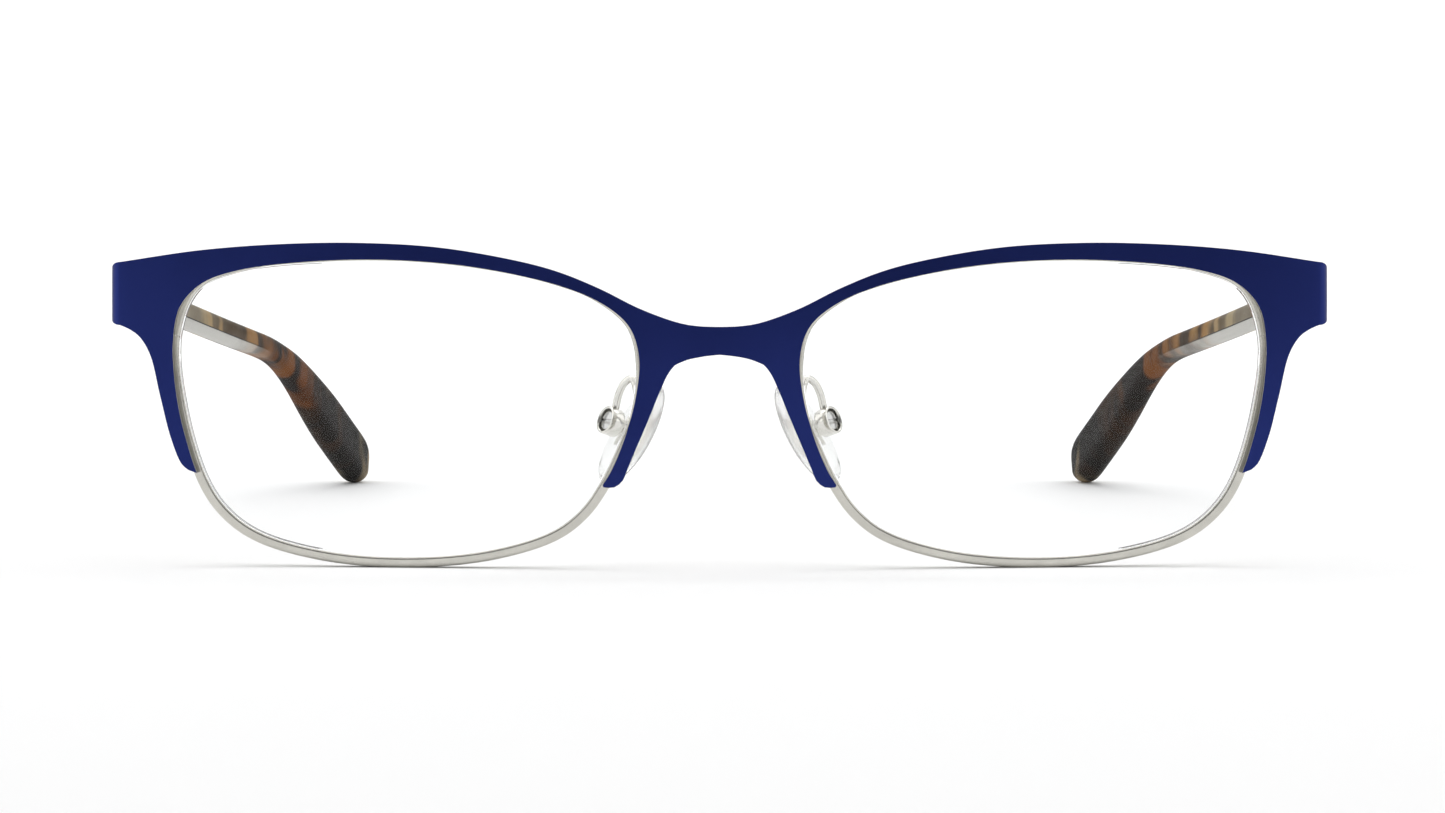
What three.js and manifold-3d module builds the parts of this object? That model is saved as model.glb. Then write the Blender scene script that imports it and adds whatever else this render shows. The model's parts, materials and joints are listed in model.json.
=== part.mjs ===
// Half-rim eyeglasses: a painted sheet-metal front over full silver eyewires, clear lenses,
// adjustable nose pads on wire arms, and slim acetate temples on three-knuckle hinges.
//
// Millimetres, +Z up, front facing -Y, temples running back along +Y. The whole object is built round
// the "lens level" (z = 0 halfway up the lenses) and lifted at the end so that the rims and the temple
// tips stand on z = 0. One side is modelled, the wearer's left at +X, and the other is its mirror image.

import * as THREE from 'three';
import { mergeGeometries, mergeVertices } from 'three/addons/utils/BufferGeometryUtils.js';
import Module from 'manifold-3d';

const wasm = await Module();
wasm.setup();

const degrees = THREE.MathUtils.degToRad;
const { lerp, smoothstep } = THREE.MathUtils;

// Driving dimensions.
const LENS_CENTRE_X = 34.6; // half the distance between the two lens centres
const STANDING_HEIGHT = 17.73; // lens level above the surface that the rims rest on
const FACE_RADIUS = 130; // radius that the front and the lenses are curved to
const FACE_FORM = degrees(5); // wrap of each side of the front
const FRONT_LEAN = degrees(3); // top of the front leans forward
const BRIDGE_HALF = 11; // the bridge is arched forward within this distance of the middle
const BRIDGE_ARCH = 1.42;
const GAP = 0.04; // between pieces that touch or are soldered together

const SHEET = 0.8; // front plate thickness
const WIRE_WIDTH = 1.15; // eyewire, across the rim
const WIRE_DEPTH = 1.9; // eyewire, front to back
const GROOVE_DEPTH = 0.42;
const RIM_CUT = 0.3; // gap where the eyewire is cut for the rim lock

const LENS_THICKNESS = 1.5;
const LENS_BEVEL = 0.33; // how far the lens edge stands into the groove

const HINGE = new THREE.Vector3(64.3, 14.1, 12.4); // middle of the hinge axis
const TEMPLE_TOE_IN = degrees(4.2);
const TEMPLE_SLOPE = degrees(7);
const HINGE_HEIGHT = 4.2;
const KNUCKLE_RADIUS = 1.3;
const TEMPLE_LENGTH = 131; // hinge axis to tip, along the temple
const ACETATE_START = 6.7;
const TEMPLE_THICKNESS = 3;
const TEMPLE_HEIGHT = 2.9;
const TIP_HEIGHT = 7.2;
const TIP_THICKNESS = 3.9;
const BEND_START = 64;
const BEND_END = 98;
const BEND_ANGLE = degrees(14.41);
const TEMPLE_CURVE = degrees(4.2); // further turn inwards from hinge to tip

const PAD_JOINT = new THREE.Vector3(12.2, 6.6, -1.6); // middle of the pad box
const PAD_SPLAY = degrees(34);
const PAD_FRONTAL = degrees(19);
const PAD_TILT = degrees(14); // how far the pad leans in more than its box does
const PAD_LENGTH = 13;
const PAD_WIDTH = 7.6;
const PAD_THICKNESS = 2.2;
const PAD_AWAY = 2.2; // pad box middle to the back of the pad
const PAD_DROP = 0.2;

// Materials.
const paint = (color, roughness, metalness) => (
  new THREE.MeshStandardMaterial({ color, roughness, metalness })
);
const bluePaint = paint(0x252e6a, 0.5, 0.35);
const silver = paint(0xc9c8be, 0.3, 1);
const screwSteel = paint(0xb4b4b0, 0.25, 1);
const acetate = paint(0x4a3220, 0.55, 0);
const silicone = paint(0xe6e8e6, 0.35, 0);
silicone.transparent = true;
silicone.opacity = 0.5;
const clearLens = paint(0xf2f6f6, 0.05, 0);
clearLens.transparent = true;
clearLens.opacity = 0.25;

// ---------------------------------------------------------------- shared helpers

// Turns points and triangles into a geometry whose faces point outwards.
function closedBody(points, triangles) {
  let volume = 0;
  for (let i = 0; i < triangles.length; i += 3) {
    const [a, b, c] = [points[triangles[i]], points[triangles[i + 1]], points[triangles[i + 2]]];
    volume += a.dot(b.clone().cross(c));
  }
  if (volume < 0) triangles.reverse();
  const geometry = new THREE.BufferGeometry();
  geometry.setAttribute('position', new THREE.Float32BufferAttribute(
    points.flatMap((point) => point.toArray()), 3,
  ));
  geometry.setIndex(triangles);
  return geometry;
}

// A closed body through a row of rings. The outline is the rings' shape in the plane, for the ends.
function loft(rings, outline) {
  const sides = rings[0].length;
  const triangles = [];
  for (let i = 0; i < rings.length - 1; i += 1) {
    const here = i * sides;
    const next = here + sides;
    for (let j = 0; j < sides; j += 1) {
      const k = (j + 1) % sides;
      triangles.push(here + j, here + k, next + k, here + j, next + k, next + j);
    }
  }
  const end = (rings.length - 1) * sides;
  const turned = THREE.ShapeUtils.isClockWise(outline);
  for (const face of THREE.ShapeUtils.triangulateShape(outline, [])) {
    const [a, b, c] = turned ? [face[0], face[2], face[1]] : face;
    triangles.push(a, c, b, end + a, end + b, end + c);
  }
  return closedBody(rings.flat(), triangles);
}

// A rectangle with chamfered corners, as an outline round the origin.
function chamferedBox(width, height, corner) {
  const [w, h] = [width / 2, height / 2];
  return [
    [w - corner, -h], [w, -h + corner], [w, h - corner], [w - corner, h],
    [-w + corner, h], [-w, h - corner], [-w, -h + corner], [-w + corner, -h],
  ].map(([x, y]) => new THREE.Vector2(x, y));
}

function onlyPositions(geometry) {
  const plain = geometry.clone();
  plain.deleteAttribute('normal');
  plain.deleteAttribute('uv');
  return mergeVertices(plain, 1e-4);
}

function asSolid(geometry) {
  const plain = onlyPositions(geometry);
  return new wasm.Manifold(new wasm.Mesh({
    numProp: 3,
    vertProperties: Float32Array.from(plain.attributes.position.array),
    triVerts: Uint32Array.from(plain.index.array),
  }));
}

function asGeometry(solid) {
  const mesh = solid.getMesh();
  const geometry = new THREE.BufferGeometry();
  geometry.setAttribute('position', new THREE.BufferAttribute(mesh.vertProperties, 3));
  geometry.setIndex(new THREE.BufferAttribute(mesh.triVerts, 1));
  return geometry;
}

const join = (...geometries) => (
  asGeometry(geometries.map(asSolid).reduce((whole, piece) => whole.add(piece)))
);
const cut = (geometry, ...tools) => (
  asGeometry(tools.map(asSolid).reduce((rest, tool) => rest.subtract(tool), asSolid(geometry)))
);
const common = (first, second) => asGeometry(asSolid(first).intersect(asSolid(second)));

// A cylinder along Z between two heights.
function post(radius, low, high, sides = 16) {
  const geometry = new THREE.CylinderGeometry(radius, radius, high - low, sides);
  return geometry.rotateX(Math.PI / 2).translate(0, 0, (low + high) / 2);
}

function block(x, y, z) {
  const geometry = new THREE.BoxGeometry(x[1] - x[0], y[1] - y[0], z[1] - z[0]);
  return geometry.translate((x[0] + x[1]) / 2, (y[0] + y[1]) / 2, (z[0] + z[1]) / 2);
}

// A slotted screw along Z: a shank up to z = 0 and a head above it.
function screw(shankRadius, shankLength, headRadius, headHeight) {
  const edge = headHeight * 0.3;
  const [lead, leadLength] = [0.1, 0.15]; // the shank's chamfered end
  const profile = [
    [0, -shankLength], [shankRadius - lead, -shankLength], [shankRadius, -shankLength + leadLength],
    [shankRadius, 0], [headRadius, 0], [headRadius, headHeight - edge],
    [headRadius - edge, headHeight], [0, headHeight],
  ].map(([x, y]) => new THREE.Vector2(x, y));
  const turned = new THREE.LatheGeometry(profile, 16).rotateX(Math.PI / 2);
  const slot = block(
    [-headRadius - 1, headRadius + 1],
    [-headRadius * 0.14, headRadius * 0.14],
    [headHeight * 0.45, headHeight + 1],
  );
  return cut(turned, slot);
}

// ---------------------------------------------------------------- the curved front

// Depth of the lens side of the front at a place, measured back from the lens centre.
function lensDepth(x, z) {
  const across = x - LENS_CENTRE_X;
  const wrap = across ** 2 / (2 * FACE_RADIUS) + across * Math.tan(FACE_FORM);
  return wrap + z ** 2 / (2 * FACE_RADIUS) - z * Math.tan(FRONT_LEAN);
}

// The plate follows the lenses, and arches forward smoothly across the bridge.
function plateDepth(x, z) {
  if (x >= BRIDGE_HALF) return lensDepth(x, z);
  const edgeSlope = (BRIDGE_HALF - LENS_CENTRE_X) / FACE_RADIUS + Math.tan(FACE_FORM);
  const blend = edgeSlope / (2 * BRIDGE_HALF) * (x ** 2 - BRIDGE_HALF ** 2);
  const arch = BRIDGE_ARCH * (0.5 + 0.5 * Math.cos(Math.PI * x / BRIDGE_HALF));
  return lensDepth(BRIDGE_HALF, z) + blend - arch;
}

// Plate edge round the lens, from the nasal leg's tip over the brow to the temporal leg's tip.
const PLATE_INNER = [
  [12.95, -8.35], [12.1, -7.0], [11.0, -4.56], [9.9, -1.24], [9.15, 2.0], [8.85, 5.3],
  [9.4, 8.1], [10.5, 9.88], [13.2, 11.92], [17.65, 13.77], [26.5, 15.73], [35.3, 16.56],
  [44.3, 16.47], [53.3, 15.44], [57.7, 13.9], [60.2, 11.3], [61.0, 7.6],
  [60.9, 3.4], [60.24, -1.04], [59.1, -5.4], [58.45, -7.3],
];
// Where the end piece starts its turn back.
const END_X = 67.2;
const END_TOP = 16.27;
const END_BOTTOM = 9.2;
// Stretches of the outer edge, each beside the inner-edge points counted by from and to.
const PLATE_OUTER = [
  {
    from: 0, to: 5, spans: 13, edge: [
      [12.85, -8.6], [11.7, -8.62], [10.75, -7.9], [10.2, -6.6], [9.4, -4.68], [7.7, -0.67],
      [6.6, 2.04], [5.5, 4.3], [4.2, 5.55], [2.2, 6.08], [0, 6.17],
    ],
  },
  { from: 5, to: 6, spans: 2, middle: true, edge: [[0, 6.17], [0, 9.23]] },
  {
    from: 6, to: 14, spans: 26, edge: [
      [0, 9.23], [2.2, 9.3], [4.4, 9.64], [8.8, 11.2], [13.2, 13.4], [17.65, 15.23],
      [22.05, 16.44], [30.9, 17.96], [39.8, 18.47], [48.8, 18.32], [57.9, 17.62], [END_X, END_TOP],
    ],
  },
  { from: 14, to: 16, spans: 5, end: true, edge: [[END_X, END_TOP], [END_X, END_BOTTOM]] },
  {
    from: 16, to: 20, spans: 12, edge: [
      [END_X, END_BOTTOM], [66.1, 8.75], [64.9, 7.9], [63.7, 5.95], [62.56, 1.3],
      [61.4, -3.35], [60.2, -6.3], [59.45, -6.95],
    ],
  },
];
const PLATE_ACROSS = 3;
const TURN_RADIUS = 1.6; // outside of the end piece's turn
const TURN_SPANS = 6;
const END_LENGTH = 5.25; // straight part of the end piece behind the turn
const END_SPANS = 2;
const END_CORNER = 0.75; // height of the rounding at the end piece's corners
const END_NARROW = 0.79; // how much of its height the end piece keeps behind the turn

const flatCurve = (points) => (
  new THREE.CatmullRomCurve3(points.map(([x, z]) => new THREE.Vector3(x, 0, z)))
);

// A sheet between a front and a back grid of points. Walls close its sides where they are asked for.
function sheet(front, back, { start = true, end = true, near = true, far = () => true }) {
  const rows = front.length;
  const columns = front[0].length;
  const points = [...front.flat(), ...back.flat()];
  const triangles = [];
  const face = (a, b, c, d) => triangles.push(a, b, c, a, c, d);
  const f = (i, s) => i * columns + s;
  const r = (i, s) => rows * columns + f(i, s);
  for (let i = 0; i < rows - 1; i += 1) {
    for (let s = 0; s < columns - 1; s += 1) {
      face(f(i, s), f(i + 1, s), f(i + 1, s + 1), f(i, s + 1));
      face(r(i, s), r(i, s + 1), r(i + 1, s + 1), r(i + 1, s));
    }
    if (near) face(f(i, 0), r(i, 0), r(i + 1, 0), f(i + 1, 0));
    const last = columns - 1;
    if (far(i)) face(f(i, last), f(i + 1, last), r(i + 1, last), r(i, last));
  }
  for (let s = 0; s < columns - 1; s += 1) {
    if (start) face(f(0, s), f(0, s + 1), r(0, s + 1), r(0, s));
    const last = rows - 1;
    if (end) face(f(last, s), r(last, s), r(last, s + 1), f(last, s + 1));
  }
  const geometry = new THREE.BufferGeometry();
  geometry.setAttribute('position', new THREE.Float32BufferAttribute(
    points.flatMap((point) => point.toArray()), 3,
  ));
  geometry.setIndex(triangles);
  return geometry;
}

function mirrored(geometry) {
  const copy = geometry.clone().scale(-1, 1, 1);
  copy.setIndex(Array.from(copy.index.array).reverse());
  return copy;
}

function frontPlate() {
  const inner = flatCurve(PLATE_INNER);
  const ribs = [];
  const openSpans = new Set();
  const endLine = [];
  for (const { from, to, spans, middle, end, edge } of PLATE_OUTER) {
    const outer = flatCurve(edge);
    const first = ribs.length ? 1 : 0;
    for (let i = first; i <= spans; i += 1) {
      const place = lerp(from, to, i / spans) / (PLATE_INNER.length - 1);
      const tip = middle || end ? outer.getPoint(i / spans) : outer.getPointAt(i / spans);
      if ((middle || end) && i > 0) openSpans.add(ribs.length - 1);
      ribs.push([inner.getPoint(place), tip]);
      if (end && i === 1) endLine.push(ribs[ribs.length - 2][1]);
      if (end) endLine.push(tip);
    }
  }
  const grid = (behind) => ribs.map(([near, far]) => (
    Array.from({ length: PLATE_ACROSS + 1 }, (_, s) => {
      const point = near.clone().lerp(far, s / PLATE_ACROSS);
      point.y = plateDepth(point.x, point.z) + behind;
      return point;
    })
  ));
  const face = sheet(grid(0), grid(SHEET), { far: (i) => !openSpans.has(i) });

  // The end piece: every height of the end line turns back on the same arc, then runs straight.
  const slope = Math.atan((END_X - LENS_CENTRE_X) / FACE_RADIUS + Math.tan(FACE_FORM));
  const turn = Math.PI / 2 + TEMPLE_TOE_IN - slope;
  const heights = [...endLine].reverse();
  const halfHeight = (END_TOP - END_BOTTOM) / 2;
  const startOut = Math.sin(slope);
  const rows = (behind) => {
    const radius = TURN_RADIUS - behind;
    const stations = [];
    for (let i = 0; i <= TURN_SPANS + END_SPANS; i += 1) {
      const heading = slope + Math.min(i / TURN_SPANS, 1) * turn;
      const straight = Math.max(i - TURN_SPANS, 0) / END_SPANS * END_LENGTH;
      const outward = (Math.sin(Math.min(heading, Math.PI / 2)) - startOut) / (1 - startOut);
      const corner = END_CORNER * (1 - Math.sqrt(1 - outward ** 2));
      const taper = lerp(1, END_NARROW, smoothstep(i, TURN_SPANS, TURN_SPANS + END_SPANS));
      const narrow = (1 - corner / halfHeight) * taper;
      stations.push(heights.map((point) => {
        const start = plateDepth(END_X, point.z);
        if (i === 0) return new THREE.Vector3(END_X, start + behind, point.z);
        const z = HINGE.z + (point.z - HINGE.z) * narrow;
        const lean = straight / END_LENGTH * (z - HINGE.z) * Math.tan(TEMPLE_SLOPE);
        const along = straight + lean;
        const centreX = END_X - TURN_RADIUS * Math.sin(slope);
        const centreY = start + TURN_RADIUS * Math.cos(slope);
        return new THREE.Vector3(
          centreX + radius * Math.sin(heading) + along * Math.cos(heading),
          centreY - radius * Math.cos(heading) + along * Math.sin(heading),
          z,
        );
      }));
    }
    return stations;
  };
  const endPiece = sheet(rows(0), rows(SHEET), { start: false });
  const half = mergeGeometries([face, endPiece]);
  return onlyPositions(mergeGeometries([half, mirrored(half)]));
}

// ---------------------------------------------------------------- eyewire, lens and rim lock

// Inner edge of the eyewire, from the cut at the temporal side over the top and round.
const RIM_EDGE = [
  [60.33, 8.0], [58.16, 13.16], [53.32, 15.3], [44.23, 16.35], [34.66, 16.43], [25.69, 15.49],
  [18.2, 13.81], [13.78, 12.05], [10.17, 8.91], [9.25, 4.48], [9.72, 0], [11.29, -4.12],
  [13.08, -7.84], [15.36, -11.12], [18.47, -13.53], [25.52, -15.73], [34.66, -16.58],
  [43.94, -15.98], [51.38, -14.0], [54.83, -11.68], [57.25, -8.32], [59.68, -0.25],
];
const rimCurve = new THREE.CatmullRomCurve3(
  RIM_EDGE.map(([x, z]) => new THREE.Vector3(x, 0, z)), true,
);
rimCurve.arcLengthDivisions = 800;
const RIM_SPANS = 66;
const WIRE_CORNER = 0.14;
const GROOVE_MOUTH = 0.45; // half widths of the lens groove at its mouth and at its bed
const GROOVE_BED = 0.1;
const LENS_SPANS = 44;
const LENS_FACE_RINGS = [0.25, 0.65];
const LENS_EDGE = { inset: 0.1, foot: 0.36, tip: 0.06 }; // half widths of the bevel, and its step
const EYEWIRE_FRONT = SHEET + GAP;
const GROOVE_MIDDLE = EYEWIRE_FRONT + WIRE_DEPTH / 2;

// A point beside the rim's inner edge: outwards from the lens by out.
function rimPoint(along, out) {
  const point = rimCurve.getPointAt(along);
  const tangent = rimCurve.getTangentAt(along);
  return point.add(new THREE.Vector3(tangent.z, 0, -tangent.x).multiplyScalar(out));
}

// The eyewire's section: across the rim, and depth from its front face.
function eyewireSection() {
  const [w, d, edge] = [WIRE_WIDTH, WIRE_DEPTH, WIRE_CORNER];
  return [
    [edge, 0], [w - edge, 0], [w, edge], [w, d - edge], [w - edge, d], [edge, d], [0, d - edge],
    [0, d / 2 + GROOVE_MOUTH], [GROOVE_DEPTH, d / 2 + GROOVE_BED],
    [GROOVE_DEPTH, d / 2 - GROOVE_BED], [0, d / 2 - GROOVE_MOUTH], [0, edge],
  ].map(([x, y]) => new THREE.Vector2(x, y));
}

function eyewire() {
  const section = eyewireSection();
  const half = RIM_CUT / 2 / rimCurve.getLength();
  const rings = [];
  for (let i = 0; i <= RIM_SPANS; i += 1) {
    const along = lerp(half, 1 - half, i / RIM_SPANS);
    rings.push(section.map(({ x: out, y: behind }) => {
      const point = rimPoint(along, out);
      point.y = lensDepth(point.x, point.z) + EYEWIRE_FRONT + behind;
      return point;
    }));
  }
  return loft(rings, section);
}

function lens() {
  const centre = new THREE.Vector3(LENS_CENTRE_X, 0, 0);
  const ring = (scale, out, behind) => Array.from({ length: LENS_SPANS }, (_, i) => {
    const point = rimPoint(i / LENS_SPANS, out).sub(centre).multiplyScalar(scale).add(centre);
    point.y = lensDepth(point.x, point.z) + GROOVE_MIDDLE + behind;
    return point;
  });
  const face = (behind) => LENS_FACE_RINGS.map((scale) => ring(scale, 0, behind));
  const half = LENS_THICKNESS / 2;
  const { inset, foot, tip } = LENS_EDGE;
  const rings = [
    ...face(-half), ring(1, -inset, -half), ring(1, -inset, -foot), ring(1, LENS_BEVEL, -tip),
    ring(1, LENS_BEVEL, tip), ring(1, -inset, foot), ring(1, -inset, half), ...face(half).reverse(),
  ];
  return loft(rings, rings[0].map((point) => new THREE.Vector2(point.x, point.z)));
}

const LOCK = { x: [61.6, 63.8], y: [6.5, 8.7], height: 1.85, screwX: 62.7, screwY: 7.6 };
const LOCK_BORE = 0.56;
const LOCK_SCREW = { radius: 0.5, length: 3.8, headRadius: 0.95, headHeight: 0.55 };

// A rim-lock block above (side 1) or below (side -1) the cut in the eyewire.
function rimLock(side) {
  const cutHeight = RIM_EDGE[0][1];
  const near = cutHeight + side * RIM_CUT / 2;
  const far = near + side * LOCK.height;
  const body = block(LOCK.x, LOCK.y, [Math.min(near, far), Math.max(near, far)]);
  const through = 2 * LOCK.height;
  const bore = post(LOCK_BORE, cutHeight - through, cutHeight + through);
  bore.translate(LOCK.screwX, LOCK.screwY, 0);
  return cut(body, bore);
}

function rimLockScrew() {
  const cutHeight = RIM_EDGE[0][1];
  const headFace = cutHeight - RIM_CUT / 2 - LOCK.height - GAP;
  const { radius, length, headRadius, headHeight } = LOCK_SCREW;
  const shape = screw(radius, length, headRadius, headHeight).rotateX(Math.PI);
  return shape.translate(LOCK.screwX, LOCK.screwY, headFace);
}

// ---------------------------------------------------------------- nose pad and its arm

// The pad's own frame has its origin in the middle of the pad box, X away from the nose,
// Y across the pad and Z up along it.
function inPadFrame(group) {
  group.position.copy(PAD_JOINT);
  group.rotation.set(0, -PAD_FRONTAL, -PAD_SPLAY, 'ZYX');
  return group;
}

const BOX = { radius: 1.6, wall: 0.3, floor: 0.4, depth: 1.7, bore: 1.0 };
const BOSS_RADIUS = 0.72;
const BOSS_END = -0.3; // where the boss ends inside the box
const alongX = (geometry) => geometry.rotateY(Math.PI / 2);

function padBox() {
  const floorEnd = -BOX.depth / 2 + BOX.floor;
  return cut(
    alongX(post(BOX.radius, -BOX.depth / 2, BOX.depth / 2, 24)),
    alongX(post(BOX.radius - BOX.wall, floorEnd, BOX.depth, 20)),
    alongX(post(BOX.bore, -BOX.depth, BOX.depth, 16)),
  );
}

const MOUNT_PLATE = { thickness: 0.45, width: 2.6, length: 4.2, inset: 0.55 };

// Leans a piece built against the back of the pad, at the origin, and puts it in the pad's place.
const leant = (geometry) => geometry.rotateY(-PAD_TILT).translate(-PAD_AWAY, 0, 0);

// The insert in the pad and the boss that the pad screw goes into.
function padMountShape(grow) {
  const { thickness, width, length, inset } = MOUNT_PLATE;
  const plate = leant(block(
    [-inset - thickness - grow, -inset + grow],
    [-width / 2 - grow, width / 2 + grow],
    [-length / 2 - grow, length / 2 + grow],
  ));
  const bossStart = -PAD_AWAY - inset - thickness / 2;
  const bossEnd = grow ? 0 : BOSS_END;
  return join(plate, alongX(post(BOSS_RADIUS + grow, bossStart, bossEnd, 16)));
}

const PAD_SCREW = { radius: 0.4, length: 1.2, headRadius: 1.08, headHeight: 0.5, play: 0.05 };
const padMount = () => cut(
  padMountShape(0), alongX(post(PAD_SCREW.radius + PAD_SCREW.play, -PAD_AWAY, 1, 12)),
);
function padScrew() {
  const { radius, length, headRadius, headHeight } = PAD_SCREW;
  return alongX(screw(radius, length, headRadius, headHeight)).translate(BOSS_END + GAP, 0, 0);
}

// A silicone pad: an oval dish, flatter on the nose side, hollowed for the insert.
function nosePad() {
  const profile = [
    [0, 0], [0.55, 0.03], [0.82, 0.16], [0.96, 0.38], [1, 0.62], [0.95, 0.82], [0.78, 0.96],
    [0.5, 1], [0, 1],
  ].map(([radius, depth]) => new THREE.Vector2(radius, -depth * PAD_THICKNESS));
  profile.reverse();
  const oval = new THREE.LatheGeometry(profile, 24);
  oval.rotateZ(-Math.PI / 2).scale(1, PAD_LENGTH / 2, PAD_WIDTH / 2).rotateX(Math.PI / 2);
  return cut(leant(oval.translate(0, 0, -PAD_DROP)), padMountShape(GAP));
}

const ARM_RADIUS = 0.43;
// The arm's middle line, from the solder joint on the rim round the crook to the pad box.
const ARM_POINTS = [
  [9.3, 3.3, -0.5], [9.3, 4.0, 0.2], [9.32, 5.0, 2.2], [9.8, 5.9, 3.25],
  [10.65, 6.5, 2.75], [11.3, 6.85, 1.5], [11.63, 6.98, 0.42],
];

function padArm() {
  const curve = new THREE.CatmullRomCurve3(ARM_POINTS.map((p) => new THREE.Vector3(...p)));
  const round = new THREE.Shape();
  const sides = 10;
  for (let i = 0; i < sides; i += 1) {
    const angle = 2 * Math.PI * i / sides;
    const corner = [ARM_RADIUS * Math.cos(angle), ARM_RADIUS * Math.sin(angle)];
    if (i) round.lineTo(...corner);
    else round.moveTo(...corner);
  }
  return onlyPositions(new THREE.ExtrudeGeometry(round, { steps: 18, extrudePath: curve }));
}

// ---------------------------------------------------------------- hinge and temple

// The hinge's own frame has its origin in the middle of the hinge axis, Z along the axis,
// Y back along the temple and X outwards.
function inHingeFrame(group) {
  group.position.copy(HINGE);
  group.rotation.set(-TEMPLE_SLOPE, 0, TEMPLE_TOE_IN, 'ZYX');
  return group;
}

const KNUCKLE_SPLIT = 0.72; // half height of the middle knuckle, with its clearance
const KNUCKLE_PLAY = 0.05;
const HINGE_BORE = 0.6;
const HINGE_SCREW = { radius: 0.54, headRadius: 1.1, headHeight: 0.5 };
const LEAF = { x: [1.9, 2.74], y: [-4.2, -0.4] };
// The metal block between the hinge and the temple, with a notch round the front knuckles.
const END_BLOCK = { inner: 0.5, outer: 3.5, front: 0.3, notch: 1.5, chamfer: 0.3 };
const BLOCK_TAPER = { start: 2.2, end: 0.3, spans: 7 }; // from behind the axis, to ahead of the temple
const EXTRA = 1; // how far a cutting shape reaches past the piece it trims
const bore = () => post(HINGE_BORE, -HINGE_HEIGHT, HINGE_HEIGHT, 12);

function frontHinge() {
  const half = HINGE_HEIGHT / 2;
  const knuckles = [];
  for (const side of [-1, 1]) {
    const [low, high] = [side * KNUCKLE_SPLIT, side * half].sort((a, b) => a - b);
    knuckles.push(post(KNUCKLE_RADIUS, low, high, 18));
    knuckles.push(block([0, LEAF.x[1] - 0.2], [-KNUCKLE_RADIUS, -0.3], [low, high]));
  }
  return cut(join(block(LEAF.x, LEAF.y, [-half, half]), ...knuckles), bore());
}

function templeHinge() {
  const half = HINGE_HEIGHT / 2;
  const { inner, outer, front, notch, chamfer } = END_BLOCK;
  const back = ACETATE_START - GAP;
  const plan = new THREE.Shape([
    [notch, front], [outer - chamfer, front], [outer, front + chamfer], [outer, back],
    [inner, back], [inner, notch + chamfer], [notch, notch],
  ].map(([x, y]) => new THREE.Vector2(x, y)));
  const tall = 2 * (half + EXTRA);
  const body = new THREE.ExtrudeGeometry(plan, { depth: tall, bevelEnabled: false });
  body.translate(0, 0, -tall / 2);
  const slim = TEMPLE_HEIGHT / 2;
  const upper = evenly(BLOCK_TAPER.start, back - BLOCK_TAPER.end, BLOCK_TAPER.spans).map((y, i) => (
    [y, lerp(half, slim, smoothstep(i, 0, BLOCK_TAPER.spans))]
  ));
  upper.unshift([front - EXTRA, half]);
  upper.push([back + EXTRA, slim]);
  const lower = upper.map(([y, z]) => [y, -z]);
  const side = new THREE.Shape(
    [...lower, ...upper.reverse()].map(([y, z]) => new THREE.Vector2(y, z)),
  );
  const taper = new THREE.ExtrudeGeometry(side, { depth: 2 * outer, bevelEnabled: false });
  taper.rotateY(Math.PI / 2).rotateX(Math.PI / 2).translate(-outer / 2, 0, 0);
  const middle = KNUCKLE_SPLIT - KNUCKLE_PLAY;
  return cut(
    join(
      common(body, taper),
      post(KNUCKLE_RADIUS, -middle, middle, 18),
      block([0.1, KNUCKLE_RADIUS], [0, notch + 0.9], [-middle, middle]),
    ),
    bore(),
  );
}

const hingeScrew = () => (
  screw(HINGE_SCREW.radius, HINGE_HEIGHT - 0.1, HINGE_SCREW.headRadius, HINGE_SCREW.headHeight)
    .translate(0, 0, HINGE_HEIGHT / 2 + GAP)
);

// Middle line of the temple: straight from the hinge, then bent down over the ear, and turning
// gently inwards all the way.
const TEMPLE_MIDDLE = (END_BLOCK.inner + END_BLOCK.outer) / 2;
const TEMPLE_STEP = 0.5;
const templeLine = [];
{
  const point = new THREE.Vector3(TEMPLE_MIDDLE, ACETATE_START, 0);
  for (let s = ACETATE_START; s < TEMPLE_LENGTH + 2 * TEMPLE_STEP; s += TEMPLE_STEP) {
    const yaw = TEMPLE_CURVE * s / TEMPLE_LENGTH;
    const pitch = -BEND_ANGLE * smoothstep(s, BEND_START, BEND_END);
    const heading = new THREE.Vector3(
      -Math.sin(yaw) * Math.cos(pitch), Math.cos(yaw) * Math.cos(pitch), Math.sin(pitch),
    );
    const across = new THREE.Vector3(Math.cos(yaw), Math.sin(yaw), 0);
    const up = across.clone().cross(heading);
    templeLine.push({ s, point: point.clone(), across, up });
    point.addScaledVector(heading, TEMPLE_STEP);
  }
}

// Rings round the middle line at some distances from the hinge. The size callback gives the
// section's outline at each distance.
function templeRings(distances, size) {
  return distances.map((s) => {
    const place = Math.min((s - ACETATE_START) / TEMPLE_STEP, templeLine.length - 1.001);
    const before = templeLine[Math.floor(place)];
    const after = templeLine[Math.floor(place) + 1];
    const middle = before.point.clone().lerp(after.point, place - Math.floor(place));
    return size(s).map(({ x, y }) => (
      middle.clone().addScaledVector(before.across, x).addScaledVector(before.up, y)
    ));
  });
}

const evenly = (from, to, count) => (
  Array.from({ length: count + 1 }, (_, i) => lerp(from, to, i / count))
);

const TEMPLE_CHAMFER = 0.55;
const TIP_CHAMFER = 1.1;
const TIP_ROUND = 6.5; // length of the rounding at the tip
const TIP_FULLNESS = 2.6; // 2 is an ellipse, and more is fuller
const TIP_STATIONS = [0.25, 0.45, 0.62, 0.77, 0.88, 0.95, 1];

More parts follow.
